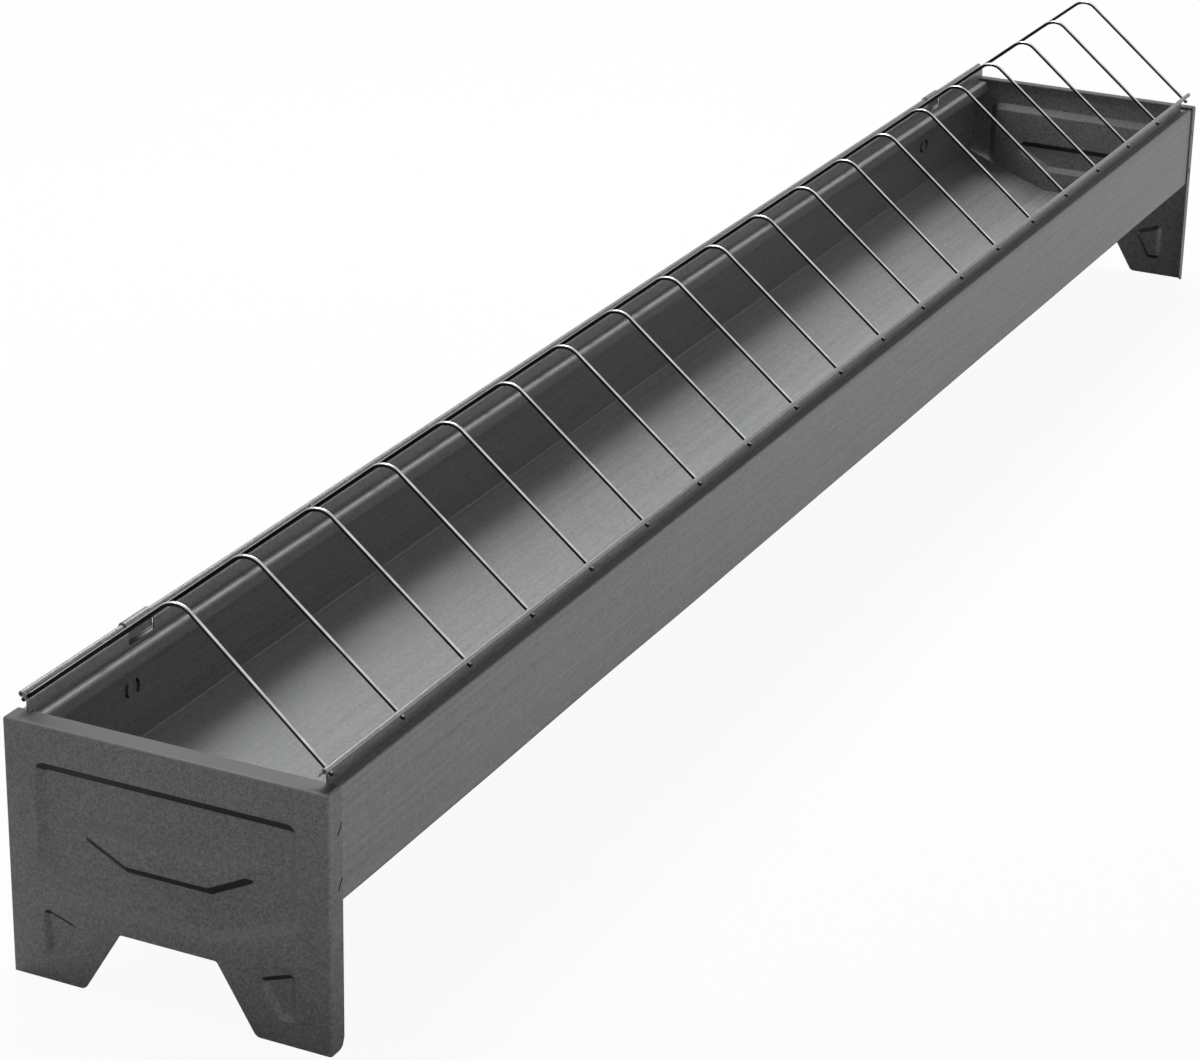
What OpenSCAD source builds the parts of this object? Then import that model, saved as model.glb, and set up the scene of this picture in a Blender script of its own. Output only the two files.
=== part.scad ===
// Trough feeder for poultry: a folded sheet trough between two pressed end plates, with a
// hinged grid of bent wires over it. Millimetres, +Z up, +X along the trough.
// Origin: centre of the underside, on the floor. The front long side faces -Y.

/* [Trough] */
// Length over both end plates
trough_length = 1000; // [600:10:1500]
// Width over the flanges of the end plates
trough_width = 137; // [115:1:170]
// Height of the end plates, up to their top flanges
plate_height = 105; // [88:1:130]
// Thickness of the galvanised sheet
sheet = 0.6; // [0.5:0.05:0.8]
// Height of the flat trough floor above the ground
floor_height = 41; // [34:1:52]
// Width of the flat trough floor
floor_width = 39; // [30:1:60]
// Depth of the trough below its rim before the walls turn in
wall_drop = 46; // [36:1:56]
// Width of the folded rim, measured inwards
rim_width = 9.6; // [8.5:0.1:14]
// Height of the turned-down lip of the rim
lip_drop = 5.8; // [3:0.1:8]

/* [End plates] */
// Flange width of the near end plate
near_flange = 9.4; // [6:0.1:12]
// Flange width of the far end plate
far_flange = 6; // [4:0.1:9]
// Depth of the pressed panels
press_depth = 2.5; // [1.5:0.1:3]
// Width of each foot
foot_width = 31.5; // [24:0.5:34]

/* [Wire grid] */
// Number of wires
wire_count = 20; // [12:1:30]
// Wire diameter
wire_d = 1.8; // [1.4:0.1:2.1]
// Distance from the outer face of an end plate to the nearest wire
wire_inset = 9; // [7:0.5:20]
// Height of the wire peaks above the end plates, as sharp corners
peak_rise = 56.9; // [45:0.1:70]
// Bend radius at the wire peaks, to the middle of the wire
peak_radius = 9; // [5:0.5:14]
// Length of wire beyond the strip it passes through
wire_tail = 3; // [1.5:0.1:3]
// Diameter of the rolled hem along each strip
hem_d = 2.3; // [2.1:0.1:2.6]

/* [Hinge] */
// Distance from the outer face of an end plate to the middle of a hinge clip
clip_inset = 83; // [60:1:200]
// Width of a hinge clip
clip_width = 17.5; // [12:0.5:20]
// Thickness of a hinge clip
clip_sheet = 0.7; // [0.6:0.05:0.8]
// Radial clearance between the rolled hem and the clip that holds it
hinge_clearance = 0.08; // [0.03:0.01:0.1]

/* [Hidden] */
$fn = 48;
half_l = trough_length / 2;
half_w = trough_width / 2;
top = plate_height;
side_gap = 0.3;            // between the trough and the plates around it
skin = 0.01;               // overlap used where one solid is cut from another
seam = 0.02;               // how much thicker a wire is drawn round its bend
tuck = 0.05;               // how far joined pieces of one bent part run into each other
small_corner = 0.6;        // radius of the tight corners of the plates

// Pressings in the end plates
slope_band = 3;            // width of a sloped side, seen square on
boat_depth = 0.5;          // how far the raised middle of the panel stays below the plate
leg_press = 1.8;           // depth of the small pressings in the legs
clinch_heights = [0.848 * top, 0.638 * top];
clinch_tilt = 35;

// Line of the sheet's middle across the trough, as distances from the outer side
wall_in = sheet + side_gap + sheet / 2;
rim_z = top - 2;
bead_z = top - 1.3;
lip_in = wall_in + rim_width - sheet;
body_half_l = half_l - sheet - press_depth - side_gap;

// Grid strips: hem middle, where the strip bends down, and the wire's way through it
hem_in = 4;
hem_z = top + 7;
hem_r = hem_d / 2;
bend_in = 6.4;
bend_z = top + 4.7;
pass_in = 5.6;
pass_z = top + 5.6;
web_end_z = top - 1.4;
strip_half_l = half_l - 4.2;
rear_end_in = 7;            // where the rear strip begins, from the near plate's outer face
web_half_l = half_l - max(near_flange, far_flange) - 0.5;
leg_angle = atan2(top + peak_rise - pass_z, half_w - pass_in);
hole_clearance = 0.08;
window_length = clip_width + 1.5;

// Clip: a strap outside the rear wall, a curl round the hem and a tongue inside
strap_in = 0.1 + clip_sheet / 2;
strap_foot_z = top - 27;
strap_bend_z = top + 0.5;
curl_r = hem_r + hinge_clearance;
tongue_end_z = top + 1.5;
prong_z = top - 22.5;
prong_r = 4.2;
prong_height = 5.6;
clip_x = half_l - clip_inset;

wire_pitch = (trough_length - 2 * wire_inset) / (wire_count - 1);
function wire_name(i) = str("wire_", i < 10 ? "0" : "", i);
function wire_x(i) = -half_l + wire_inset + (i - 1) * wire_pitch;

// ---- folding sheet -------------------------------------------------------------------

function unit(v) = v / norm(v);
function left(v) = [-v[1], v[0]];

// One corner rounded with arc points; r is the radius to the line itself
function round_corner(a, b, c, r) =
    let (u = unit(a - b), v = unit(c - b), half = acos(u * v) / 2,
         m = b + unit(u + v) * r / sin(half), s = (u[0] * v[1] - u[1] * v[0]) > 0 ? 1 : -1,
         start = b + u * r / tan(half) - m, turn = s * (180 - 2 * half),
         steps = max(2, ceil(abs(turn) / 15)))
    [for (k = [0:steps]) let (g = -turn * k / steps)
        m + [start[0] * cos(g) - start[1] * sin(g), start[0] * sin(g) + start[1] * cos(g)]];

// An open line through points given as [across, up, corner radius]
function fold(p) = [for (i = [0:len(p) - 1])
    let (q = [p[i][0], p[i][1]])
    each (i == 0 || i == len(p) - 1 || p[i][2] == 0 ? [q]
          : round_corner([p[i-1][0], p[i-1][1]], q, [p[i+1][0], p[i+1][1]], p[i][2]))];

// A closed outline with every corner rounded by its own radius
function outline(p) = [for (i = [0:len(p) - 1])
    let (n = len(p), a = p[(i + n - 1) % n], b = p[i], c = p[(i + 1) % n])
    each round_corner([a[0], a[1]], [b[0], b[1]], [c[0], c[1]], b[2])];

// The point at a distance d to the left of corner b
function beside(a, b, c, d) =
    let (n1 = left(unit(b - a)), n2 = left(unit(c - b)), m = unit(n1 + n2)) b + m * d / (m * n1);

// An open line moved sideways by d
function shifted(p, d) = [for (i = [0:len(p) - 1])
    i == 0 ? p[0] + left(unit(p[1] - p[0])) * d
    : i == len(p) - 1 ? p[i] + left(unit(p[i] - p[i-1])) * d
    : beside(p[i-1], p[i], p[i+1], d)];

// A closed outline, drawn anticlockwise, drawn in by d
function drawn_in(p, d) = [for (i = [0:len(p) - 1])
    beside(p[(i + len(p) - 1) % len(p)], p[i], p[(i + 1) % len(p)], d)];

function folded(line, t) = concat(shifted(line, t / 2),
    [for (i = [len(line) - 1:-1:0]) shifted(line, -t / 2)[i]]);

function mirrored(p) = [for (i = [len(p) - 1:-1:0]) [-p[i][0], p[i][1], p[i][2]]];

// Extrudes a shape drawn as [y, z] along X, from x0 to x1
module along_x(x0, x1) {
    translate([x0, 0, 0]) rotate([90, 0, 90]) linear_extrude(height = x1 - x0) children();
}

// A round bar along X
module bar(r, x0, x1, y, z) {
    translate([x0, y, z]) rotate([0, 90, 0]) cylinder(h = x1 - x0, r = r, $fn = 64);
}

// ---- trough --------------------------------------------------------------------------

// From the middle of the floor to the end of the front lip
function half_section() = [
    [-floor_width / 2, floor_height + sheet / 2, 3],
    [-half_w + wall_in, top - wall_drop, 3],
    [-half_w + wall_in, bead_z, 0.7],
    [-half_w + wall_in + 1.5, bead_z, 0.6],
    [-half_w + wall_in + 2.3, rim_z, 0.6],
    [-half_w + lip_in, rim_z, 1.2],
    [-half_w + lip_in, rim_z - lip_drop, 0]];

// Slits through the rear wall for the curved prongs of one clip
module prong_ring(inner, outer, height, y0, y1) {
    translate([0, y0, prong_z]) rotate([-90, 0, 0]) intersection() {
        difference() {
            cylinder(h = y1 - y0, r = outer, $fn = 48);
            translate([0, 0, -1]) cylinder(h = y1 - y0 + 2, r = inner, $fn = 48);
        }
        translate([-outer - 1, -height / 2, -1]) cube([2 * outer + 2, height, y1 - y0 + 2]);
    }
}

module trough_body() color("silver") difference() {
    along_x(-body_half_l, body_half_l)
        polygon(folded(fold(concat(mirrored(half_section()), half_section())), sheet));
    for (s = [-1, 1]) translate([s * clip_x, 0, 0])
        prong_ring(prong_r - 0.55, prong_r + 0.55, prong_height + 0.5, half_w - 5, half_w);
}

// ---- end plates ----------------------------------------------------------------------

// Pressed shapes keep their place on a plate of any width and height
ky = half_w / 68.5;
kz = plate_height / 105;

function panel_outline() = outline([
    [-55.6 * ky, 90.3 * kz, 3], [-55.6 * ky, 47.6 * kz, 5], [-19.1 * ky, 34 * kz, 5],
    [19.1 * ky, 34 * kz, 5], [55.6 * ky, 47.6 * kz, 5], [55.6 * ky, 90.3 * kz, 3]]);

function boat_outline() = outline([
    [-36.5 * ky, 69.8 * kz, 3], [-36.5 * ky, 61.7 * kz, 3], [-18.1 * ky, 52.4 * kz, 4],
    [18.1 * ky, 52.4 * kz, 4], [36.5 * ky, 61.7 * kz, 3], [36.5 * ky, 69.8 * kz, 3]]);

function leg_outline() = outline([
    [-54.3 * ky, 30.8 * kz, 1.5], [-53.8 * ky, 9.8 * kz, 1.5], [-46.5 * ky, 9.8 * kz, 1.5],
    [-38.2 * ky, 25.1 * kz, 1.5]]);

// Outline of the flat plate: two feet with a notch between them
function plate_outline() = outline([
    [-half_w, top, small_corner], [-half_w, 0, small_corner], [-half_w + foot_width, 0, 3],
    [-20.7 * ky, 26.9 * kz, 1.5], [20.7 * ky, 26.9 * kz, 1.5],
    [half_w - foot_width, 0, 3], [half_w, 0, small_corner], [half_w, top, small_corner]]);

// A pressing with sloped sides: outline a at x0 drawn in by the slope at x1
module pressing(a, slope, x0, x1) {
    hull() {
        along_x(x0 - skin, x0) polygon(a);
        along_x(x1 - skin, x1) polygon(drawn_in(a, slope));
    }
}

// Plate with its outer face at x = 0 and its flanges towards +X
module end_plate(flange) {
    difference() {
        union() {
            difference() {
                union() {
                    along_x(0, sheet) polygon(plate_outline());
                    pressing(panel_outline(), slope_band, sheet, press_depth + sheet);
                }
                pressing(panel_outline(), slope_band, 0, press_depth);
            }
            boat(0);
        }
        boat(sheet);
        for (s = [0, 1]) mirror([0, s, 0]) along_x(-1, leg_press) polygon(leg_outline());
    }
    for (s = [0, 1]) mirror([0, s, 0]) {
        leg_pan();
        side_flange(flange);
    }
    translate([0, -half_w + small_corner, top - sheet])
        cube([flange, trough_width - 2 * small_corner, sheet]);
}

// The back of a leg's small pressing, which has straight sides
module leg_pan() difference() {
    along_x(sheet - skin, sheet + leg_press) polygon(drawn_in(leg_outline(), -sheet));
    along_x(0, leg_press) polygon(leg_outline());
}

// The raised boat shape inside the panel, moved inwards by the given depth
module boat(depth) {
    translate([depth, 0, 0]) hull() {
        along_x(press_depth, press_depth + skin) polygon(boat_outline());
        along_x(boat_depth, boat_depth + skin) polygon(drawn_in(boat_outline(), slope_band));
    }
}

// Side flange with a rounded lower corner and two slanted clinch marks
module side_flange(flange) {
    difference() {
        translate([0, -half_w + sheet, 0]) rotate([90, 0, 0]) linear_extrude(height = sheet)
            polygon(outline([[0, top - 0.2, 0.2], [0, 0, 0.2], [flange, 0, 4],
                             [flange, top - 0.2, 0.4]]));
        for (z = clinch_heights) translate([flange - 1.9, -half_w + sheet / 2, z])
            rotate([0, clinch_tilt, 0]) translate([-0.5, -1, -2.5]) cube([1, 1, 5]);
    }
}

module near_end_plate() color("silver") translate([-half_l, 0, 0]) end_plate(near_flange);
module far_end_plate() color("silver") translate([half_l, 0, 0]) mirror([1, 0, 0])
    end_plate(far_flange);

// ---- wire grid -----------------------------------------------------------------------

// Front strip: rolled hem, slanted part square to the wires, and a web down to the rim
module strip() {
    slant = [cos(leg_angle - 90), sin(leg_angle - 90)];
    corner = [-half_w + bend_in, bend_z];
    difference() {
        union() {
            bar(hem_r, -strip_half_l, strip_half_l, -half_w + hem_in, hem_z);
            along_x(-strip_half_l, strip_half_l)
                polygon(folded(fold([[corner[0] - slant[0] * 2.8, corner[1] - slant[1] * 2.8, 0],
                                     [corner[0], corner[1], 0.6], [corner[0], web_end_z, 0]]),
                               sheet));
        }
        for (s = [0, 1]) mirror([s, 0, 0])
            translate([web_half_l, -half_w, web_end_z - 1])
                cube([half_l - web_half_l, 9, bend_z - 0.2 - web_end_z + 1]);
        bar(hem_r - sheet, -half_l, half_l, -half_w + hem_in, hem_z);
        for (i = [1:wire_count]) translate([wire_x(i), -half_w + pass_in, pass_z])
            rotate([leg_angle, 0, 0]) rotate([90, 0, 0])
                cylinder(h = 8, r = wire_d / 2 + hole_clearance, center = true, $fn = 32);
    }
}

module grid_front_strip() color("silver") strip();

// Rear strip: the same with a shorter near end, and a window round each clip
module grid_rear_strip() color("silver") mirror([0, 1, 0]) difference() {
    strip();
    for (s = [-1, 1]) translate([s * clip_x - window_length / 2, -half_w, top - 0.1])
        difference() {
            cube([window_length, 12, 9]);
            translate([-1, 0, 0]) bar(hem_r, 0, window_length + 2, hem_in, hem_z - top + 0.1);
        }
    translate([-half_l, -half_w, top - 3]) cube([rear_end_in, 12, 14]);
}

// One wire: two straight legs joined by a round bend at the peak
module wire(i) color("gainsboro") translate([wire_x(i), 0, 0]) {
    peak_z = top + peak_rise;
    turn = 90 - leg_angle;
    middle_z = peak_z - peak_radius / sin(turn);
    leg = norm([half_w - pass_in, peak_z - pass_z]) + wire_tail;
    for (s = [0, 1]) mirror([0, s, 0]) {
        translate([0, -half_w + pass_in, pass_z]) rotate([leg_angle, 0, 0]) rotate([-90, 0, 0])
            translate([0, 0, -wire_tail])
                cylinder(h = leg - peak_radius / tan(turn) + tuck, d = wire_d, $fn = 32);
    }
    translate([0, 0, middle_z]) rotate([0, -90, 0]) rotate([0, 0, -leg_angle])
        rotate_extrude(angle = 2 * leg_angle, $fn = 96)
            translate([peak_radius, 0]) circle(d = wire_d + seam, $fn = 32);
}

// ---- hinge clips ---------------------------------------------------------------------

// Bent strap with a curl round the hem; drawn at the front and mirrored to the rear
module clip() mirror([0, 1, 0]) {
    middle_r = curl_r + clip_sheet / 2;
    hem = [-half_w + hem_in, hem_z];
    foot = [-half_w + strap_in, strap_bend_z];
    reach = norm(hem - foot);
    slope = atan2(hem[1] - foot[1], hem[0] - foot[0]) + asin(middle_r / reach);
    touch = foot + sqrt(reach * reach - middle_r * middle_r) * [cos(slope), sin(slope)];
    end = touch + tuck * [cos(slope), sin(slope)];
    x0 = -clip_width / 2;
    x1 = clip_width / 2;
    along_x(x0, x1) polygon(folded(fold([[foot[0], strap_foot_z, 0], [foot[0], foot[1], 1.2],
                                         [end[0], end[1], 0]]), clip_sheet));
    difference() {
        bar(curl_r + clip_sheet, x0, x1, hem[0], hem[1]);
        bar(curl_r, x0 - 1, x1 + 1, hem[0], hem[1]);
        along_x(x0 - 1, x1 + 1) polygon([hem, hem + 9 * unit(touch - hem),
                                         hem + [-9, -9], hem + [9, -9], hem + [9, 0]]);
    }
    translate([x0, hem[0] + curl_r, tongue_end_z])
        cube([clip_width, clip_sheet, hem_z - tongue_end_z + tuck]);
    prong_ring(prong_r - clip_sheet / 2, prong_r + clip_sheet / 2, prong_height,
               -half_w + 0.1, -half_w + wall_in + 1.4);
}

module hinge_clip_near() color("gainsboro") translate([-clip_x, 0, 0]) clip();
module hinge_clip_far() color("gainsboro") translate([clip_x, 0, 0]) clip();

trough_body();
near_end_plate();
far_end_plate();
hinge_clip_near();
hinge_clip_far();
grid_front_strip();
grid_rear_strip();
for (i = [1:wire_count]) wire(i);
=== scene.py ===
# %% [markdown]
# # A trough feeder in galvanised sheet and wire
#
# The object is a metre-long feeding trough for poultry. Its sheets are pressed and folded on
# simple tools, and a ridge of bent wires keeps the birds out of the feed. The measured
# model comes in first, because everything that is drawn here has to sit where it sits.

# %% Load the measured model
import math
import bmesh
import bpy
import numpy as np
from mathutils import Matrix, Vector, noise


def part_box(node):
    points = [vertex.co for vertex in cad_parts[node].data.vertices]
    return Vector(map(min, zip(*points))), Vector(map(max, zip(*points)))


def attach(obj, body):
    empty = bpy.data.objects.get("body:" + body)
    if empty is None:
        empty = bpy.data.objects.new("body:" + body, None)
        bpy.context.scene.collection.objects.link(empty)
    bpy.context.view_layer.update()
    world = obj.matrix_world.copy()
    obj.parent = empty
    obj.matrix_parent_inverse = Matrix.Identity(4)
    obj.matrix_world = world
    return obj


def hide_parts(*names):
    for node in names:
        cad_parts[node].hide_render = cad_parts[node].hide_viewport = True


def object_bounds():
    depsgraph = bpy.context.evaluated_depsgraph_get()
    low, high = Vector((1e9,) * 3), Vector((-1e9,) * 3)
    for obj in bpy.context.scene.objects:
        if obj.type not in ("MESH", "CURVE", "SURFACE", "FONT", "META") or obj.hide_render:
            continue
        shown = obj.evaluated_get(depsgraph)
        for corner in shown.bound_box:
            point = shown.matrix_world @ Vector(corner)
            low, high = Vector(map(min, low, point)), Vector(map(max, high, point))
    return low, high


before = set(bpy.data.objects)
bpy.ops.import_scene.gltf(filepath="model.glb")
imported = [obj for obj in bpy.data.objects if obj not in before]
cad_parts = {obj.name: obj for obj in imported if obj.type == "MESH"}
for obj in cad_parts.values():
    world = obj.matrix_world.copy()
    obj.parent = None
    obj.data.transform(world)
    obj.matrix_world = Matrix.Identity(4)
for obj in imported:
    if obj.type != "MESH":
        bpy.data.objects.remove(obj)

cad_low, cad_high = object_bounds()
print("model box", [round(v, 4) for v in cad_high - cad_low])

# %% [markdown]
# A sheet-metal drawing is in millimetres and Blender works in metres, so every shape below
# is drawn in millimetres and made smaller once, when its mesh is built. The few sizes that
# the pieces share are read off the measured model.

# %% Shared sizes, in millimetres
MM = 0.001
half_l, half_w = cad_high.x / MM, cad_high.y / MM
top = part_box("near_end_plate")[1].z / MM
body_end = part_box("trough_body")[1].x / MM
near_flange = half_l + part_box("near_end_plate")[1].x / MM
far_flange = half_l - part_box("far_end_plate")[0].x / MM
SHEET = 0.6
print("plates", round(2 * half_w, 1), "wide and", round(top, 1), "high; flanges",
      round(near_flange, 1), "and", round(far_flange, 1))

# %% [markdown]
# A picture's colours are written as sRGB hex values, while the renderer adds light in
# linear values. One function turns the first into the second.

# %% Colours from hex values
def linear(hex_colour):
    parts = [int(hex_colour[i:i + 2], 16) / 255 for i in (1, 3, 5)]
    return [p / 12.92 if p <= 0.04045 else ((p + 0.055) / 1.055) ** 2.4 for p in parts] + [1.0]

print("mid grey is", [round(v, 3) for v in linear("#808080")[:3]])

# %% [markdown]
# A material is a small graph. This helper adds one node to it, sets its choices, and fills
# its inputs: a value that is itself another node's output becomes a link.

# %% Add a node
def add(tree, kind, choices=None, inputs=None):
    node = tree.nodes.new(kind)
    for name, value in (choices or {}).items():
        setattr(node, name, value)
    for name, value in (inputs or {}).items():
        if isinstance(value, bpy.types.NodeSocket):
            tree.links.new(value, node.inputs[name])
        else:
            node.inputs[name].default_value = value
    return node

print("a node is added with its settings and its links")

# %% [markdown]
# ## Camera
#
# A long lens from the front left, a little above the trough, gives the stretched view down
# its length. The camera is set by three directions: to its right, up, and straight back.

# %% Camera
CAMERA_PLACE = Vector((-1.4763, -0.6406, 0.6785))
right = Vector((0.43941, -0.89810, 0.01830)).normalized()
back = -Vector((0.83222, 0.39934, -0.38462)).normalized()
up = back.cross(right)
camera = bpy.data.objects.new("camera", bpy.data.cameras.new("camera"))
bpy.context.scene.collection.objects.link(camera)
camera.matrix_world = Matrix.Translation(CAMERA_PLACE) @ Matrix((right, up, back)).transposed().to_4x4()
camera.data.sensor_width = 36
camera.data.lens = 108.53
camera.data.shift_x, camera.data.shift_y = -0.0015, -0.0016
camera.data.clip_end = 20
bpy.context.scene.camera = camera
bpy.context.scene.view_settings.view_transform = "Standard"
print("lens", camera.data.lens, "mm, looking down", round(math.degrees(math.asin(back.z)), 1), "degrees")

# %% [markdown]
# ## Light and floor
#
# Bare zinc shows mostly what it mirrors, so the surroundings matter as much as the lamps.
# The room is white to the camera and in reflections, and dim as a source of light. A long
# soft lamp hangs high up behind the trough, and a low one stands at the front, hardly high
# enough to reach over the rim: both leave most of the inside of the rear wall in the shade.
# A small one high up behind adds a little light to the far plate.

# %% World
world = bpy.data.worlds.new("pale room")
bpy.context.scene.world = world
world.use_nodes = True
tree = world.node_tree
tree.nodes.clear()
path = add(tree, "ShaderNodeLightPath")
seen = add(tree, "ShaderNodeMath", {"operation": "MAXIMUM"},
           {0: path.outputs["Is Camera Ray"], 1: path.outputs["Is Transmission Ray"]})
seen = add(tree, "ShaderNodeMath", {"operation": "MAXIMUM"},
           {0: seen.outputs[0], 1: path.outputs["Is Glossy Ray"]})
ROOM_LIGHT, ROOM_SEEN = 0.13, 1.0
dim = add(tree, "ShaderNodeBackground", None, {"Color": linear("#ffffff"), "Strength": ROOM_LIGHT})
white = add(tree, "ShaderNodeBackground", None, {"Color": linear("#ffffff"), "Strength": ROOM_SEEN})
mix = add(tree, "ShaderNodeMixShader", None,
          {0: seen.outputs[0], 1: dim.outputs[0], 2: white.outputs[0]})
add(tree, "ShaderNodeOutputWorld", None, {"Surface": mix.outputs[0]})
print("world ready")

# %% Lamps
def soft_lamp(name, place, target, size, power):
    lamp = bpy.data.lights.new(name, "AREA")
    lamp.shape, lamp.size, lamp.size_y, lamp.energy = "RECTANGLE", size[0], size[1], power
    holder = bpy.data.objects.new(name, lamp)
    bpy.context.scene.collection.objects.link(holder)
    holder.location = place
    holder.rotation_euler = (Vector(target) - Vector(place)).to_track_quat("-Z", "Y").to_euler()
    return holder

soft_lamp("lamp overhead", (0.55, 0.5, 1.6), (0.35, 0, 0.05), (1.7, 0.26), 33)
soft_lamp("small lamp behind", (-0.75, 0.95, 1.5), (0.45, 0, 0.08), (0.4, 0.3), 4)
soft_lamp("low lamp at the front", (0.1, -1.6, 0.22), (0, 0, 0.06), (1.6, 0.2), 6)

# %% [markdown]
# The floor is a pale sheet of board. To the camera it is lifted almost to white, as studio
# paper is, and it keeps a faint soft shadow under the trough. Reflections see it nearly as
# it is lit.

# %% Floor
floor_mesh = bpy.data.meshes.new("floor")
floor_mesh.from_pydata([(-6, -6, 0), (6, -6, 0), (6, 6, 0), (-6, 6, 0)], [], [(0, 1, 2, 3)])
floor = bpy.data.objects.new("floor", floor_mesh)
bpy.context.scene.collection.objects.link(floor)
floor.location.z = -0.0005
paper = bpy.data.materials.new("matt studio board")
paper.use_nodes = True
tree = paper.node_tree
tree.nodes.clear()
grain = add(tree, "ShaderNodeTexNoise", None, {"Scale": 60.0, "Detail": 3.0})
tint = add(tree, "ShaderNodeValToRGB", None, {"Fac": grain.outputs["Fac"]})
tint.color_ramp.elements[0].color = linear("#dcdcdc")
tint.color_ramp.elements[1].color = linear("#e6e6e6")
matt = add(tree, "ShaderNodeBsdfDiffuse", None, {"Color": tint.outputs["Color"]})
glow = add(tree, "ShaderNodeEmission", None, {"Color": linear("#ffffff"), "Strength": 1.0})
path = add(tree, "ShaderNodeLightPath")
WHITE_SEEN, WHITE_MIRRORED = 0.94, 0.04  # how far the board is lifted to white
mirrored = add(tree, "ShaderNodeMath", {"operation": "MULTIPLY"},
               {0: path.outputs["Is Glossy Ray"], 1: WHITE_MIRRORED})
share = add(tree, "ShaderNodeMath", {"operation": "MULTIPLY_ADD"},
            {0: path.outputs["Is Camera Ray"], 1: WHITE_SEEN, 2: mirrored.outputs[0]})
mix = add(tree, "ShaderNodeMixShader", None,
          {0: share.outputs[0], 1: matt.outputs[0], 2: glow.outputs[0]})
add(tree, "ShaderNodeOutputMaterial", None, {"Surface": mix.outputs[0]})
floor_mesh.materials.append(paper)
print("floor ready")

# %% [markdown]
# ## Galvanised sheet
#
# Hot-dip galvanised steel is covered in zinc that froze in small crystals. New, it is
# bright; after some months it dulls to a mid grey, and the crystals stay as a fine mottle,
# each a little lighter or darker and a little smoother or rougher than its neighbour.
# Rolling leaves faint lines along the sheet. Dulled zinc has a chalky skin over the metal,
# so a sheet is part mirror and part matt. All sheets here get this one recipe, with their
# own greys, crystal size in mm, range of roughness, amount of rolling lines, share of bare
# metal and how much the faces that look up are darkened. Faces that look down get painted shade.

# %% A recipe for zinc
def zinc(name, dark, pale, crystal_mm, roughness, line_depth, metallic, upward_darkening_share):
    material = bpy.data.materials.new(name)
    material.use_nodes = True
    tree = material.node_tree
    tree.nodes.clear()
    place = add(tree, "ShaderNodeTexCoord").outputs["Object"]
    crystals = add(tree, "ShaderNodeTexVoronoi", None,
                   {"Vector": place, "Scale": 1 / (crystal_mm * MM), "Randomness": 1.0})
    crystal = add(tree, "ShaderNodeSeparateColor", None, {"Color": crystals.outputs["Color"]})
    clouds = add(tree, "ShaderNodeTexNoise", None,
                 {"Vector": place, "Scale": 1 / (45 * MM), "Detail": 4.0, "Roughness": 0.6})
    dust = add(tree, "ShaderNodeTexNoise", None,
               {"Vector": place, "Scale": 1 / (0.8 * MM), "Detail": 2.0, "Roughness": 0.7})
    # Rolling lines run the length of the sheet: long along X, about 1.2 mm apart across it
    drawn_out = add(tree, "ShaderNodeMapping", None,
                    {"Vector": place, "Scale": (1 / (220 * MM), 1 / (1.2 * MM), 1 / (1.2 * MM))})
    lines = add(tree, "ShaderNodeTexNoise", None,
                {"Vector": drawn_out.outputs[0], "Scale": 1.0, "Detail": 2.0, "Roughness": 0.5})
    tone = add(tree, "ShaderNodeMix", {"data_type": "FLOAT"},
               {"Factor": 0.7, "A": clouds.outputs["Fac"], "B": crystal.outputs[0]})
    tone = add(tree, "ShaderNodeMix", {"data_type": "FLOAT"},
               {"Factor": 0.5, "A": tone.outputs[0], "B": dust.outputs["Fac"]})
    tone = add(tree, "ShaderNodeMix", {"data_type": "FLOAT"},
               {"Factor": 0.5 * line_depth, "A": tone.outputs[0], "B": lines.outputs["Fac"]})
    grey = add(tree, "ShaderNodeValToRGB", None, {"Fac": tone.outputs[0]})
    grey.color_ramp.elements[0].position, grey.color_ramp.elements[0].color = 0.28, linear(dark)
    grey.color_ramp.elements[1].position, grey.color_ramp.elements[1].color = 0.72, linear(pale)
    # Painted shade: faces that look down are painted dark, which draws the pressings as dark lines
    upward = add(tree, "ShaderNodeVectorMath", {"operation": "DOT_PRODUCT"},
                 {0: add(tree, "ShaderNodeTexCoord").outputs["Normal"], 1: (0.0, 0.0, 1.0)})
    not_down = add(tree, "ShaderNodeMapRange", {"interpolation_type": "SMOOTHSTEP"},
                   {"Value": upward.outputs["Value"], "From Min": -0.32, "From Max": -0.16})
    grey_with_painted_shade = add(tree, "ShaderNodeMix", {"data_type": "RGBA"},
               {0: not_down.outputs[0], 6: linear("#222223"), 7: grey.outputs["Color"]})
    # Faces that look up are darkened towards a dark brownish grey, up to the given share
    upward_darkening = add(tree, "ShaderNodeMapRange", None,
                {"Value": upward.outputs["Value"], "From Min": 0.15, "From Max": 1.0,
                 "To Min": 0.0, "To Max": upward_darkening_share})
    grey_with_painted_shade = add(tree, "ShaderNodeMix", {"data_type": "RGBA"},
               {0: upward_darkening.outputs[0], 6: grey_with_painted_shade.outputs[2], 7: linear("#3c3b3a")})
    rough = add(tree, "ShaderNodeMapRange", None,
                {"Value": tone.outputs[0], "From Min": 0.25, "From Max": 0.75,
                 "To Min": roughness[0], "To Max": roughness[1]})
    relief = add(tree, "ShaderNodeMix", {"data_type": "FLOAT"},
                 {"Factor": 0.25 + 0.5 * line_depth, "A": dust.outputs["Fac"],
                  "B": lines.outputs["Fac"]})
    bump = add(tree, "ShaderNodeBump", None,
               {"Height": relief.outputs[0], "Strength": 0.35, "Distance": 0.00006})
    metal = add(tree, "ShaderNodeBsdfPrincipled", None,
                {"Base Color": grey_with_painted_shade.outputs[2], "Metallic": metallic,
                 "Roughness": rough.outputs[0], "Normal": bump.outputs[0]})
    add(tree, "ShaderNodeOutputMaterial", None, {"Surface": metal.outputs[0]})
    return material

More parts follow.
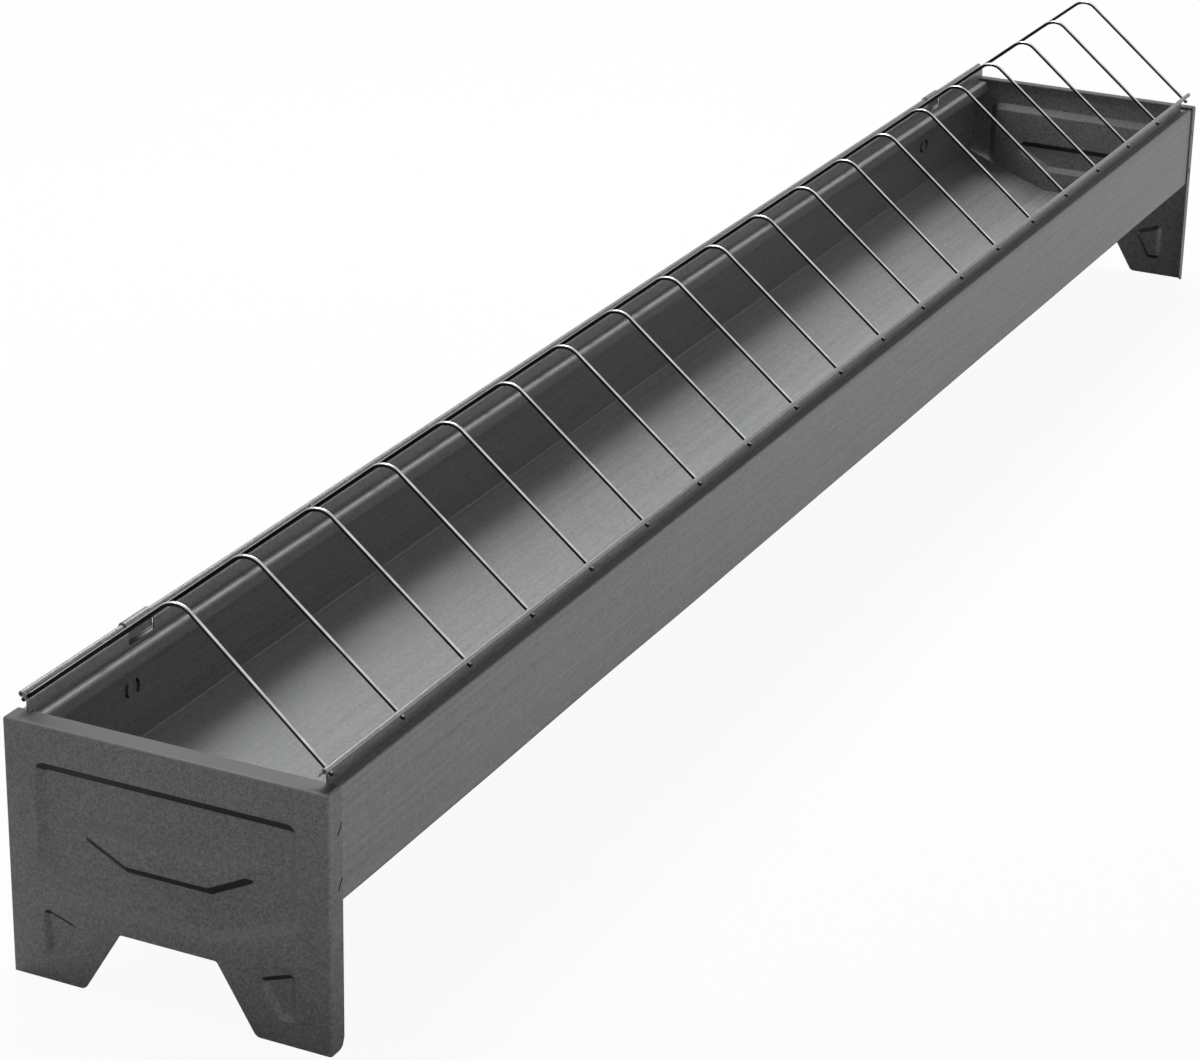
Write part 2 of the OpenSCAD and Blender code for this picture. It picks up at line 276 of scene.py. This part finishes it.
trough_sheet = zinc("galvanised sheet, rolled", "#6c6d6e", "#8f9091", 1.0, (0.48, 0.60), 0.8, 0.25, 0.0)
plate_sheet = zinc("galvanised sheet, pressed", "#5e5f60", "#838485", 0.9, (0.46, 0.58), 0.15, 0.5, 0.85)
strip_sheet = zinc("galvanised sheet, rolled hem", "#77787a", "#949597", 1.2, (0.32, 0.44), 0.4, 0.7, 0.3)
clip_steel = zinc("galvanised strip, bent", "#6a6b6d", "#88898b", 1.2, (0.32, 0.44), 0.3, 0.8, 0.3)
print("four finishes of galvanised sheet")

# %% [markdown]
# The wire is drawn steel with a thin coat of zinc. Drawing through a die leaves it
# brighter than the sheet, with fine scratches and a few dull patches.

# %% Zinc-coated wire
def drawn_wire(name):
    material = bpy.data.materials.new(name)
    material.use_nodes = True
    tree = material.node_tree
    tree.nodes.clear()
    place = add(tree, "ShaderNodeTexCoord").outputs["Object"]
    patches = add(tree, "ShaderNodeTexNoise", None,
                  {"Vector": place, "Scale": 1 / (9 * MM), "Detail": 3.0})
    scratches = add(tree, "ShaderNodeTexNoise", None,
                    {"Vector": place, "Scale": 1 / (0.7 * MM), "Detail": 2.0})
    # Painted light and shade: a wire is painted bright on the side that faces up and to the far end
    # and dark on the side that faces down and to the near end, as a wire lit from one side looks
    facing = add(tree, "ShaderNodeVectorMath", {"operation": "DOT_PRODUCT"},
                 {0: add(tree, "ShaderNodeTexCoord").outputs["Normal"], 1: (0.45, -0.1, 0.75)})
    bright = add(tree, "ShaderNodeMapRange", {"interpolation_type": "SMOOTHSTEP"},
                 {"Value": facing.outputs["Value"], "From Min": -0.12, "From Max": 0.30})
    grey = add(tree, "ShaderNodeValToRGB", None, {"Fac": patches.outputs["Fac"]})
    grey.color_ramp.elements[0].position, grey.color_ramp.elements[0].color = 0.35, linear("#b0b1b2")
    grey.color_ramp.elements[1].position, grey.color_ramp.elements[1].color = 0.65, linear("#d2d3d4")
    rough = add(tree, "ShaderNodeMapRange", None,
                {"Value": patches.outputs["Fac"], "To Min": 0.20, "To Max": 0.32})
    # Painted shade: the short tails below the strips are painted all dark, as tails in shade
    height = add(tree, "ShaderNodeSeparateXYZ", None, {0: place})
    above = add(tree, "ShaderNodeMapRange", None,
                {"Value": height.outputs["Z"], "From Min": (top + 4.6) * MM,
                 "From Max": (top + 5.6) * MM})
    # Painted light and shade together: bright only on the lit side, and only above the tails
    painted_lit_side = add(tree, "ShaderNodeMath", {"operation": "MINIMUM"},
                {0: bright.outputs[0], 1: above.outputs[0]})
    painted_light_and_shade = add(tree, "ShaderNodeMix", {"data_type": "RGBA"},
               {0: painted_lit_side.outputs[0], 6: linear("#1e1e1f"), 7: grey.outputs["Color"]})
    bump = add(tree, "ShaderNodeBump", None,
               {"Height": scratches.outputs["Fac"], "Strength": 0.3, "Distance": 0.00003})
    metal = add(tree, "ShaderNodeBsdfPrincipled", None,
                {"Base Color": painted_light_and_shade.outputs[2], "Metallic": 1.0,
                 "Roughness": rough.outputs[0], "Normal": bump.outputs[0]})
    add(tree, "ShaderNodeOutputMaterial", None, {"Surface": metal.outputs[0]})
    return material

grid_wire = drawn_wire("zinc-coated drawn wire")
print("wire finish ready")

# %% [markdown]
# ## Bent sheet
#
# A folded part is one line bent at its corners, given a thickness, and drawn out along the
# trough. Modelling it from that line, rather than from boxes, gives every fold its round
# and every edge its real thickness. `bend` rounds the corners of a line, `beside` moves a
# line sideways by half the sheet, and the mesh runs round both sides of it.

# %% Bend a line
def bend(corners, steps=5):
    line = [np.array(corners[0][:2], float)]
    for before, corner, after in zip(corners, corners[1:], corners[2:]):
        a, b, c = (np.array(p[:2], float) for p in (before, corner, after))
        u, v = (a - b) / np.linalg.norm(a - b), (c - b) / np.linalg.norm(c - b)
        half = math.acos(float(np.clip(u @ v, -1, 1))) / 2
        middle = b + (u + v) / np.linalg.norm(u + v) * corner[2] / math.sin(half)
        start, stop = (b + w * corner[2] / math.tan(half) - middle for w in (u, v))
        first = math.atan2(start[1], start[0])
        turn = (math.atan2(stop[1], stop[0]) - first + math.pi) % (2 * math.pi) - math.pi
        line += [middle + corner[2] * np.array((math.cos(first + turn * k / steps),
                                                math.sin(first + turn * k / steps)))
                 for k in range(steps + 1)]
    return np.array(line + [np.array(corners[-1][:2], float)])

def beside(line, distance, closed=False):
    ahead = np.roll(line, -1, axis=0) - line
    ahead /= np.maximum(np.linalg.norm(ahead, axis=1, keepdims=True), 1e-9)
    behind = np.roll(ahead, 1, axis=0)
    if not closed:
        behind[0], ahead[-1] = ahead[0], behind[-1]
    n1, n2 = (np.stack((-d[:, 1], d[:, 0]), axis=1) for d in (behind, ahead))
    middle = n1 + n2
    middle /= np.linalg.norm(middle, axis=1, keepdims=True)
    return line + middle * distance / np.sum(middle * n1, axis=1, keepdims=True)

elbow = bend([(0, 0, 0), (10, 0, 2), (10, 10, 0)])
print("an elbow of", len(elbow), "points; its outer side starts", beside(elbow, -0.3)[0])

# %% [markdown]
# Every piece is finished the same way: its mesh is built in metres, smoothed except at
# edges sharper than a fold, given its finish, and tied to the measured model. It rides on
# a body of the model and stands in for the plain solids of the same parts.

# %% Finish a piece
def piece(name, points, faces, material, body, nodes, smooth_below=32):
    mesh = bpy.data.meshes.new(name)
    mesh.from_pydata([tuple(float(v) * MM for v in p) for p in points], [], faces)
    mesh.materials.append(material)
    mesh.validate()
    made = bpy.data.objects.new(name, mesh)
    bpy.context.scene.collection.objects.link(made)
    tidy = bmesh.new()
    tidy.from_mesh(mesh)
    bmesh.ops.remove_doubles(tidy, verts=tidy.verts, dist=0.00002)
    bmesh.ops.recalc_face_normals(tidy, faces=tidy.faces)
    tidy.to_mesh(mesh)
    tidy.free()
    mesh.shade_smooth()
    mesh.set_sharp_from_angle(angle=math.radians(smooth_below))
    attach(made, body)
    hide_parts(*nodes)
    return made

# %% Draw a bent sheet out along the trough
def draw_out(line, thickness, stations, sway=None):
    """Points and faces of a sheet whose middle follows line, a list of [across, up]."""
    sides = np.vstack((beside(line, thickness / 2), beside(line, -thickness / 2)[::-1]))
    count, half = len(sides), len(line)
    normals = beside(line, 1.0) - line
    normals = np.vstack((normals, normals[::-1]))
    points, faces = [], []
    for x in stations:
        for k, (y, z) in enumerate(sides):
            shift = sway(x, y, z) if sway else 0.0
            points.append((x, y + normals[k][0] * shift, z + normals[k][1] * shift))
    for s in range(len(stations) - 1):
        for k in range(count):
            a, b = s * count + k, s * count + (k + 1) % count
            faces.append((a, b, b + count, a + count))
    for s in (0, len(stations) - 1):
        faces += [(s * count + k, s * count + k + 1, s * count + count - 2 - k,
                   s * count + count - 1 - k) for k in range(half - 1)]
    return points, faces

print("a bent sheet has", len(draw_out(elbow, SHEET, [0, 10])[1]), "faces")

# %% [markdown]
# ## Trough
#
# The trough is one folded sheet: a flat floor, two sides that slope up to upright walls,
# and a rim that turns inwards over a small bead and ends in a lip, which keeps the edge
# from cutting. Folded sheet this thin is never quite flat, so its walls get a slow sway of
# a fraction of a millimetre, which the reflections in them show.

# %% Section of the trough
# Corners as (across, up, radius), from the edge of the floor to the end of the front lip
wall, bead, rim, lip = half_w - 1.2, top - 1.3, top - 2.0, half_w - 10.2
FLOOR_HALF, FLOOR_Z, WALL_DROP, LIP_DROP = 19.5, 41.3, 46, 5.8
front_half = [(-FLOOR_HALF, FLOOR_Z, 2), (-wall, top - WALL_DROP, 1.2), (-wall, bead, 0.7),
              (-wall + 1.5, bead, 0.6), (-wall + 2.3, rim, 0.6),
              (-lip, rim, 1.2), (-lip, rim - LIP_DROP, 0)]
rear_half = [(-y, z, r) for y, z, r in reversed(front_half)]
trough_line = bend(rear_half + front_half)
# Extra points on the flat stretches let the sheet sway between its folds
spread = [trough_line[0]]
for a, b in zip(trough_line, trough_line[1:]):
    pieces = max(1, int(np.linalg.norm(b - a) // 9))
    spread += [a + (b - a) * (k + 1) / pieces for k in range(pieces)]
trough_line = np.array(spread)
print("the trough's line has", len(trough_line), "points")

# %% Build the trough
def sheet_sway(x, y, z):
    edge = min(1.0, (body_end - abs(x)) / 25)
    return edge * 0.28 * noise.noise(Vector((x / 95, y / 30, z / 24))) if z < top - 4 else 0.0

stations = np.linspace(-body_end, body_end, 133)
points, faces = draw_out(trough_line, SHEET, stations, sheet_sway)
trough = piece("trough_sheet", points, faces, trough_sheet, "trough",
               ["trough_body"])
print("the trough is", round(trough.dimensions.x / MM, 1), "mm long")

# %% [markdown]
# Each hinge clip holds on by two curved prongs, pushed through a pair of curved slits in
# the rear wall. The slits are cut with a Boolean, since they cross the sheet square on.

# %% Cut with a tool shape
def bake(target):
    """Give the object the mesh that its modifier makes, and take the modifier away."""
    bpy.context.view_layer.update()
    shape = bpy.data.meshes.new_from_object(target.evaluated_get(
        bpy.context.evaluated_depsgraph_get()))
    target.modifiers.clear()
    target.data = shape

def cut(target, points, faces):
    mesh = bpy.data.meshes.new("cutter")
    mesh.from_pydata([tuple(float(v) * MM for v in p) for p in points], [], faces)
    tool = bpy.data.objects.new("cutter", mesh)
    bpy.context.scene.collection.objects.link(tool)
    tidy = bmesh.new()
    tidy.from_mesh(mesh)
    bmesh.ops.recalc_face_normals(tidy, faces=tidy.faces)
    tidy.to_mesh(mesh)
    tidy.free()
    modifier = target.modifiers.new("cut", "BOOLEAN")
    modifier.operation, modifier.solver, modifier.object = "DIFFERENCE", "EXACT", tool
    bake(target)
    bpy.data.objects.remove(tool)
    bpy.data.meshes.remove(mesh)

def curved_tab(x, side, inner, outer, reach, y0, y1, z, tip=0.0):
    """A short piece of a pipe's wall whose pipe runs along Y: one prong, or its slit."""
    points, faces, steps = [], [], 8
    for y, shrink in ((y0, 0.0), (y1, tip)):
        for radius in (inner + shrink, outer - shrink):
            for k in range(steps + 1):
                a = math.radians((reach - 12 * shrink) * (2 * k / steps - 1))
                points.append((x + side * radius * math.cos(a), y, z + radius * math.sin(a)))
    n = steps + 1
    for k in range(steps):
        faces += [(k, k + 1, n + k + 1, n + k), (2 * n + k, 2 * n + k + 1, 3 * n + k + 1, 3 * n + k),
                  (k, k + 1, 2 * n + k + 1, 2 * n + k),
                  (n + k, n + k + 1, 3 * n + k + 1, 3 * n + k)]
    faces += [(0, n, 3 * n, 2 * n), (n - 1, 2 * n - 1, 4 * n - 1, 3 * n - 1)]
    return points, faces

CLIP_X, PRONG_Z, PRONG_R = half_l - 83, top - 22.5, 4.2  # 83 mm in from each end
for x in (-CLIP_X, CLIP_X):
    for side in (-1, 1):
        cut(trough, *curved_tab(x, side, PRONG_R - 0.6, PRONG_R + 0.6, 44, half_w - 4, half_w,
                                PRONG_Z))
print("slits cut; the trough now has", len(trough.data.polygons), "faces")

# %% [markdown]
# ## End plates
#
# An end plate is stamped: a press bends its edge over into a flange and pushes a large
# panel inwards, the middle of that panel back out in a boat shape, and a small pocket into
# each foot. A stamped step is a short slope with rounded feet, so every step here is a
# belt of rings between two outlines, and the flat metal around them is filled in after.

# %% Outlines of the pressings
def outline(corners, steps=5):
    wrapped = [corners[-1]] + corners + [corners[0]]
    wrapped[0] = ((wrapped[0][0] + wrapped[1][0]) / 2, (wrapped[0][1] + wrapped[1][1]) / 2, 0)
    wrapped[-1] = wrapped[0]
    return bend(wrapped, steps)[1:-1]

PANEL = outline([(-55.6, 90.3, 4.4), (-55.6, 47.6, 6), (-19.1, 34, 9), (19.1, 34, 9),
                 (55.6, 47.6, 6), (55.6, 90.3, 4.4)])
BOAT = outline([(-36.5, 69.8, 4), (-36.5, 61.7, 4), (-18.1, 52.4, 6), (18.1, 52.4, 6),
                (36.5, 61.7, 4), (36.5, 69.8, 4)])
POCKET = outline([(-54.3, 30.8, 2.6), (-53.8, 9.8, 2.6), (-46.5, 9.8, 2.6), (-38.2, 25.1, 2.6)])
POCKETS = [POCKET, [(-y, z) for y, z in reversed(POCKET)]]
# How far in each pressing lies, and how wide the slope that leads to it is drawn
PANEL_DEPTH, BOAT_DEPTH, POCKET_DEPTH = 2.5, 0.5, 1.7
PANEL_SLOPE, BOAT_SLOPE, POCKET_SLOPE = 4.0, 3.5, 2.4
FOOT_WIDE, ARCH_HALF, ARCH_TOP = 31.5, 20.7, 26.9  # the plate's two feet and the gap between
print("outlines of", len(PANEL), len(BOAT), "and", len(POCKET), "points")

# %% Build an end plate
def end_plate(name, flange, place, inward, node):
    fold, foot_corner = 1.1, 4  # outer radii of the bent edge and of a flange's lower corner
    bm = bmesh.new()
    flat_edges = []

    def ring(points, depth):
        return [bm.verts.new((depth, y, z)) for y, z in points]

    def border(ring_verts):
        flat_edges.extend(bm.edges.get((a, b)) or bm.edges.new((a, b))
                          for a, b in zip(ring_verts, ring_verts[1:] + ring_verts[:1]))

    def step(points, width, from_depth, to_depth):
        """A pressed slope, as rings drawn in by width, which must stay under the corner radii."""
        rings = []
        for t, part in ((0, 0), (0.05, 0.01), (0.1, 0.06), (0.9, 0.94), (0.95, 0.99), (1, 1)):
            depth = from_depth + (to_depth - from_depth) * part
            rings.append(ring(beside(np.array(points), width * t, closed=True), depth))
        for a, b in zip(rings, rings[1:]):
            for i in range(len(a)):
                j = (i + 1) % len(a)
                bm.faces.new((a[i], a[j], b[j], b[i]))
        return rings[0], rings[-1]

    def fill(*loops):
        flat_edges.clear()
        for loop in loops:
            border(loop)
        bmesh.ops.triangle_fill(bm, edges=list(flat_edges), use_beauty=True, use_dissolve=False)

    panel_out, panel_in = step(PANEL, PANEL_SLOPE, 0.0, PANEL_DEPTH)
    boat_out, boat_in = step(BOAT, BOAT_SLOPE, PANEL_DEPTH, BOAT_DEPTH)
    pockets = [step(p, POCKET_SLOPE, 0.0, POCKET_DEPTH) for p in POCKETS]
    # The bent edge: columns of points that leave the plate along the outward direction
    y_in, z_in = half_w - fold, top - fold
    ups = [0, 5, 12, 30, 50, 70, 90]
    path = [((-y_in, z), [180]) for z in ups] + [((-y_in, z_in), [180, 157, 135, 112, 90])] \
        + [((y, z_in), [90]) for y in np.linspace(-50, 50, 9)] \
        + [((y_in, z_in), [90, 67, 45, 22, 0])] + [((y_in, z), [0]) for z in reversed(ups)]
    columns, edge = [], []
    for n, ((y, z), fans) in enumerate(path):
        base = bm.verts.new((0, y, z))
        edge.append(base)
        for fan in fans:
            out = (math.cos(math.radians(fan)), math.sin(math.radians(fan)))
            column = [base]
            for a in (22, 45, 68, 90):
                reach = fold * math.sin(math.radians(a))
                column.append(bm.verts.new((fold * (1 - math.cos(math.radians(a))),
                                            y + out[0] * reach, z + out[1] * reach)))
            for depth in np.linspace(fold, flange, 8)[1:]:
                lift = 0.0
                if n in (0, len(path) - 1):
                    short = max(0, depth - flange + foot_corner)
                    lift = foot_corner - math.sqrt(max(0, foot_corner ** 2 - short ** 2))
                column.append(bm.verts.new((depth, y + out[0] * fold, z + out[1] * fold + lift)))
            columns.append(column)
    for a, b in zip(columns, columns[1:]):
        for k in range(len(a) - 1):
            corners = list(dict.fromkeys((a[k], b[k], b[k + 1], a[k + 1])))
            bm.faces.new(corners)
    notch = bend([(y_in, 0, 0), (half_w - FOOT_WIDE, 0, 3), (ARCH_HALF, ARCH_TOP, 1.5),
                  (-ARCH_HALF, ARCH_TOP, 1.5), (-half_w + FOOT_WIDE, 0, 3), (-y_in, 0, 0)])
    lower = [bm.verts.new((0, y, z)) for y, z in notch[1:-1]]
    fill(edge + lower, panel_out, *(p[0] for p in pockets))
    fill(panel_in, boat_out)
    fill(boat_in)
    for p in pockets:
        fill(p[1])
    bmesh.ops.recalc_face_normals(bm, faces=bm.faces)
    middle = max(bm.faces, key=lambda f: f.calc_area())
    if middle.normal.x > 0:
        bmesh.ops.reverse_faces(bm, faces=bm.faces)
    points = [(place + inward * v.co.x, v.co.y, v.co.z) for v in bm.verts]
    bm.verts.index_update()
    faces = [[v.index for v in f.verts][::1 if inward > 0 else -1] for f in bm.faces]
    bm.free()
    mesh = bpy.data.meshes.new(name)
    mesh.from_pydata([tuple(float(v) * MM for v in p) for p in points], [], faces)
    mesh.materials.append(plate_sheet)
    made = bpy.data.objects.new(name, mesh)
    bpy.context.scene.collection.objects.link(made)
    thick = made.modifiers.new("sheet", "SOLIDIFY")
    thick.thickness, thick.offset, thick.use_even_offset = SHEET * MM, -1, True
    bake(made)
    made.data.shade_smooth()
    made.data.set_sharp_from_angle(angle=math.radians(40))
    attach(made, "trough")
    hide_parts(node)
    return made

near_plate = end_plate("near_end_stamping", near_flange, -half_l, 1, "near_end_plate")
far_plate = end_plate("far_end_stamping", far_flange, half_l, -1, "far_end_plate")
print("each plate has", len(near_plate.data.polygons), "faces")

# %% [markdown]
# The plates are fixed to the trough by clinching: a punch has driven two short slanted
# nicks through each side flange, one near the top and one at two thirds of the height.

# %% Clinch marks
CLINCH_HEIGHTS = (0.848 * top, 0.638 * top)
CLINCH_LEAN, CLINCH_HALF_LONG, CLINCH_HALF_WIDE = math.radians(35), 2.5, 0.5
CLINCH_IN = 1.9  # from the flange's free edge

for plate, flange, place, inward in ((near_plate, near_flange, -half_l, 1),
                                     (far_plate, far_flange, half_l, -1)):
    for side in (-1, 1):
        for height in CLINCH_HEIGHTS:
            corners = [(a * math.cos(CLINCH_LEAN) + b * math.sin(CLINCH_LEAN), y,
                        height - a * math.sin(CLINCH_LEAN) + b * math.cos(CLINCH_LEAN))
                       for a in (-CLINCH_HALF_WIDE, CLINCH_HALF_WIDE)
                       for y in (side * (half_w - 0.35), side * (half_w + 1))
                       for b in (-CLINCH_HALF_LONG, CLINCH_HALF_LONG)]
            cut(plate, [(place + inward * (flange - CLINCH_IN + x), y, z) for x, y, z in corners],
                [(0, 1, 3, 2), (4, 5, 7, 6), (0, 1, 5, 4), (2, 3, 7, 6), (0, 2, 6, 4), (1, 3, 7, 5)])
print("clinched; the near plate now has", len(near_plate.data.polygons), "faces")

# %% [markdown]
# ## Grid strips
#
# Along each side of the wire grid runs a narrow strip of sheet. Its upper edge is rolled
# into a hem, a slanted part below the hem is pierced for the wires, which leaves a burr at
# each hole, and the rest hangs down as a web to just above the rim. The rear hem is also the
# pin of the hinge. The section is drawn once, at the front, and turned round for the rear.

# %% Section of a strip
HEM_IN, HEM_Z, HEM_R = 4.0, top + 7, 1.15
BEND_IN, BEND_Z = 6.4, top + 4.7
PASS_IN, PASS_Z, PEAK_Z = 5.6, top + 5.6, top + 56.9
LEG = math.atan2(PEAK_Z - PASS_Z, half_w - PASS_IN)
slant = np.array((math.sin(LEG), -math.cos(LEG)))
hem = np.array((-half_w + HEM_IN, HEM_Z))
corner = np.array((-half_w + BEND_IN, BEND_Z))
roll = HEM_R - SHEET / 2
arrive = math.atan2(*(corner - slant * 2.2 - hem)[::-1])
strip_line = bend([(corner[0], top - 1.4, 0), (corner[0], corner[1], 0.7),
                   tuple(corner - slant * 1.9) + (0,)])
curl = [hem + roll * np.array((math.cos(arrive + a), math.sin(arrive + a)))
        for a in np.linspace(math.radians(8), math.radians(325), 26)]
strip_line = np.vstack((strip_line, curl))
print("wire legs rise at", round(math.degrees(LEG), 1), "degrees")

# %% Build the strips
STRIP_END, WEB_END = half_l - 4.2, half_l - near_flange - 0.5
REAR_END_IN = 7.0  # the rear strip stops this far short of the near plate's outer face
WINDOW, WINDOW_IN = 8.8, 7.0  # half the length of a clip's window, and its reach inwards

def block(x0, x1, y0, y1, z0, z1):
    points = [(x, y, z) for x in (x0, x1) for y in (y0, y1) for z in (z0, z1)]
    return points, [(0, 1, 3, 2), (4, 5, 7, 6), (0, 1, 5, 4), (2, 3, 7, 6), (0, 2, 6, 4), (1, 3, 7, 5)]

def strip_sway(x, y, z):
    return 0.05 * noise.noise(Vector((x / 60, y / 9, z / 9)))

def burr(x, across, up, along, sides=12):
    """The ragged ring that piercing leaves round a wire's hole, on the side it came out."""
    points, faces = [], []
    for distance, radius in ((0.2, 1.0), (0.2, 2.0), (1.0, 1.35), (1.0, 1.0)):
        for k in range(sides):
            a = 2 * math.pi * k / sides
            ragged = radius + (0.25 * noise.noise(Vector((x, k, 0.3))) if radius > 1.0 else 0.0)
            points.append((x + ragged * math.cos(a),
                           across + along[0] * distance - along[1] * ragged * math.sin(a),
                           up + along[1] * distance + along[0] * ragged * math.sin(a)))
    for loop in range(4):
        for k in range(sides):
            n, m = loop * sides, (loop + 1) % 4 * sides
            faces.append((n + k, n + (k + 1) % sides, m + (k + 1) % sides, m + k))
    return points, faces

WIRE_X = np.linspace(-half_l + 9, half_l - 9, 20)
strips = []
for side, node in ((-1, "grid_front_strip"), (1, "grid_rear_strip")):
    first = -STRIP_END if side == -1 else REAR_END_IN - half_l
    points, faces = draw_out(strip_line, SHEET, np.linspace(first, STRIP_END, 111), strip_sway)
    for x in WIRE_X:
        more, more_faces = burr(x, -half_w + PASS_IN, PASS_Z, (math.cos(LEG), math.sin(LEG)))
        faces += [tuple(i + len(points) for i in f) for f in more_faces]
        points += more
    points = [(x, -side * y, z) for x, y, z in points]
    strip = piece(node.replace("grid_", "") + "_sheet", points, faces, strip_sheet, "grid",
                  [node], 40)
    for end in (-1, 1):
        x0, x1 = sorted((end * WEB_END, end * (half_l + 1)))
        y0, y1 = sorted((side * (half_w + 1), side * (half_w - 9)))
        clear = top + 0.5 if side == 1 else BEND_Z - 0.2
        cut(strip, *block(x0, x1, y0, y1, top - 3, clear))
        if side == 1:
            # a window round each clip, from under the hem down to the foot of the web
            x = end * CLIP_X
            cut(strip, *block(x - WINDOW, x + WINDOW, half_w - HEM_IN - 0.4, half_w - HEM_IN - WINDOW_IN,
                              top - 0.1, HEM_Z - HEM_R * 0.9))
            cut(strip, *block(x - WINDOW, x + WINDOW, half_w - HEM_IN - HEM_R - 0.02,
                              half_w - HEM_IN - WINDOW_IN, top - 0.1, HEM_Z + 1))
            # and round the hem itself, so that nothing but the roll turns inside the clip
            arc = [hem + 2.7 * np.array((math.cos(a), math.sin(a)))
                   for a in np.linspace(arrive - 1.4, arrive + 1.4, 12)]
            points, faces = draw_out(np.array(arc), 3.0, (x - WINDOW, x + WINDOW))
            cut(strip, [(px, -y, z) for px, y, z in points], faces)
    strips.append(strip)
print("strips", [len(s.data.polygons) for s in strips], "faces")

# %% [markdown]
# ## Wires
#
# Each wire is cut to length and bent once, to a ridge with a round top, and its two tails
# are pushed through the strips. The tool's cut leaves the tails a little rounded. Bending
# by hand leaves every ridge leaning a trifle, the first one the most, which keeps the row
# from looking printed.

# %% Sweep a round bar along a path
def bar(path, radius, sides=14):
    path = np.array(path, float)
    along = np.gradient(path, axis=0)
    along /= np.linalg.norm(along, axis=1, keepdims=True)
    across = np.array((1.0, 0.0, 0.0))
    points, faces, rows = [], [], len(path)
    sizes = [0.55, 0.9] + [1.0] * (rows - 4) + [0.9, 0.55]
    for p, d, size in zip(path, along, sizes):
        u = across - d * (across @ d)
        u /= np.linalg.norm(u)
        v = np.cross(d, u)
        points += [p + radius * size * (math.cos(a) * u + math.sin(a) * v)
                   for a in np.linspace(0, 2 * math.pi, sides, endpoint=False)]
    for r in range(rows - 1):
        faces += [(r * sides + k, r * sides + (k + 1) % sides,
                   (r + 1) * sides + (k + 1) % sides, (r + 1) * sides + k) for k in range(sides)]
    faces += [tuple(range(sides)), tuple(range((rows - 1) * sides, rows * sides))]
    return points, faces

print("a short straight bar has", len(bar([(0, 0, z) for z in range(6)], 1.0)[1]), "faces")

# %% Build the wires
WIRE_R, BEND_R, TAIL = 0.9, 9.0, 3.0
away = np.array((math.cos(LEG), math.sin(LEG)))
tail = np.array((-half_w + PASS_IN, PASS_Z)) - away * TAIL
turn_in = np.array((0, PEAK_Z)) - away * BEND_R * math.tan(LEG)
wires = []
for i, x in enumerate(WIRE_X):
    lean = 3.5 if i == 0 else 0.5 * noise.noise(Vector((i * 1.7, 3.1, 0.4)))
    left = [tail + away * s for s in (0, 0.12, 0.35)] \
        + [tail + (turn_in - tail) * s for s in np.linspace(0.08, 0.94, 8)]
    middle_z = PEAK_Z - BEND_R / math.cos(LEG)
    arch = [np.array((BEND_R * math.sin(a), middle_z + BEND_R * math.cos(a)))
            for a in np.linspace(-LEG, LEG, 15)]
    line = left + arch + [np.array((-y, z)) for y, z in reversed(left)]
    path = [(x + lean * (z - PASS_Z) / 50, y, z) for y, z in line]
    points, faces = bar(path, WIRE_R)
    wires.append(piece(f"bent_wire_{i + 1:02d}", points, faces, grid_wire, "grid",
                       [f"wire_{i + 1:02d}"], 50))
print(len(wires), "wires,", round(WIRE_X[1] - WIRE_X[0], 1), "mm apart")

# %% [markdown]
# ## Hinge clips
#
# Two clips of slightly thicker strip hold the rear hem so that the grid can swing over. A
# clip lies flat on the outside of the rear wall, curls round the hem in its window, and
# ends in a tongue on the inside. Its two prongs grip the wall through the slits.

# %% Section of a clip
CLIP_SHEET, GAP = 0.7, 0.08
ring = HEM_R + GAP + CLIP_SHEET / 2
foot = np.array((-half_w + 0.1 + CLIP_SHEET / 2, top + 0.5))
reach = float(np.linalg.norm(hem - foot))
slope = math.atan2(*(hem - foot)[::-1]) + math.asin(ring / reach)
touch = slope + math.pi / 2
over = [hem + ring * np.array((math.cos(a), math.sin(a))) for a in np.linspace(touch, 0, 22)]
clip_line = np.vstack((bend([(foot[0], top - 27, 0), (foot[0], foot[1], 1.2),
                             tuple(over[0]) + (0,)])[:-1], over,
                       [np.array((hem[0] + ring, top + 1.5))]))
print("a clip bends through", len(clip_line), "points")

# %% Build the clips
clips = []
for x, end in ((-CLIP_X, "near"), (CLIP_X, "far")):
    points, faces = draw_out(clip_line, CLIP_SHEET, x + np.array((-8.75, -8.3, -4, 0, 4, 8.3, 8.75)))
    points = [(p[0], -p[1], p[2]) for p in points]
    for side in (-1, 1):
        more, more_faces = curved_tab(x, side, PRONG_R - 0.35, PRONG_R + 0.35, 40,
                                      half_w - 0.2, half_w - 2.6, PRONG_Z, 0.12)
        faces += [tuple(i + len(points) for i in f) for f in more_faces]
        points += more
    clips.append(piece(f"hinge_clip_{end}_bent", points, faces, clip_steel, "trough",
                       [f"hinge_clip_{end}"], 40))
print("clips", [round(c.dimensions.z / MM, 1) for c in clips], "mm tall")
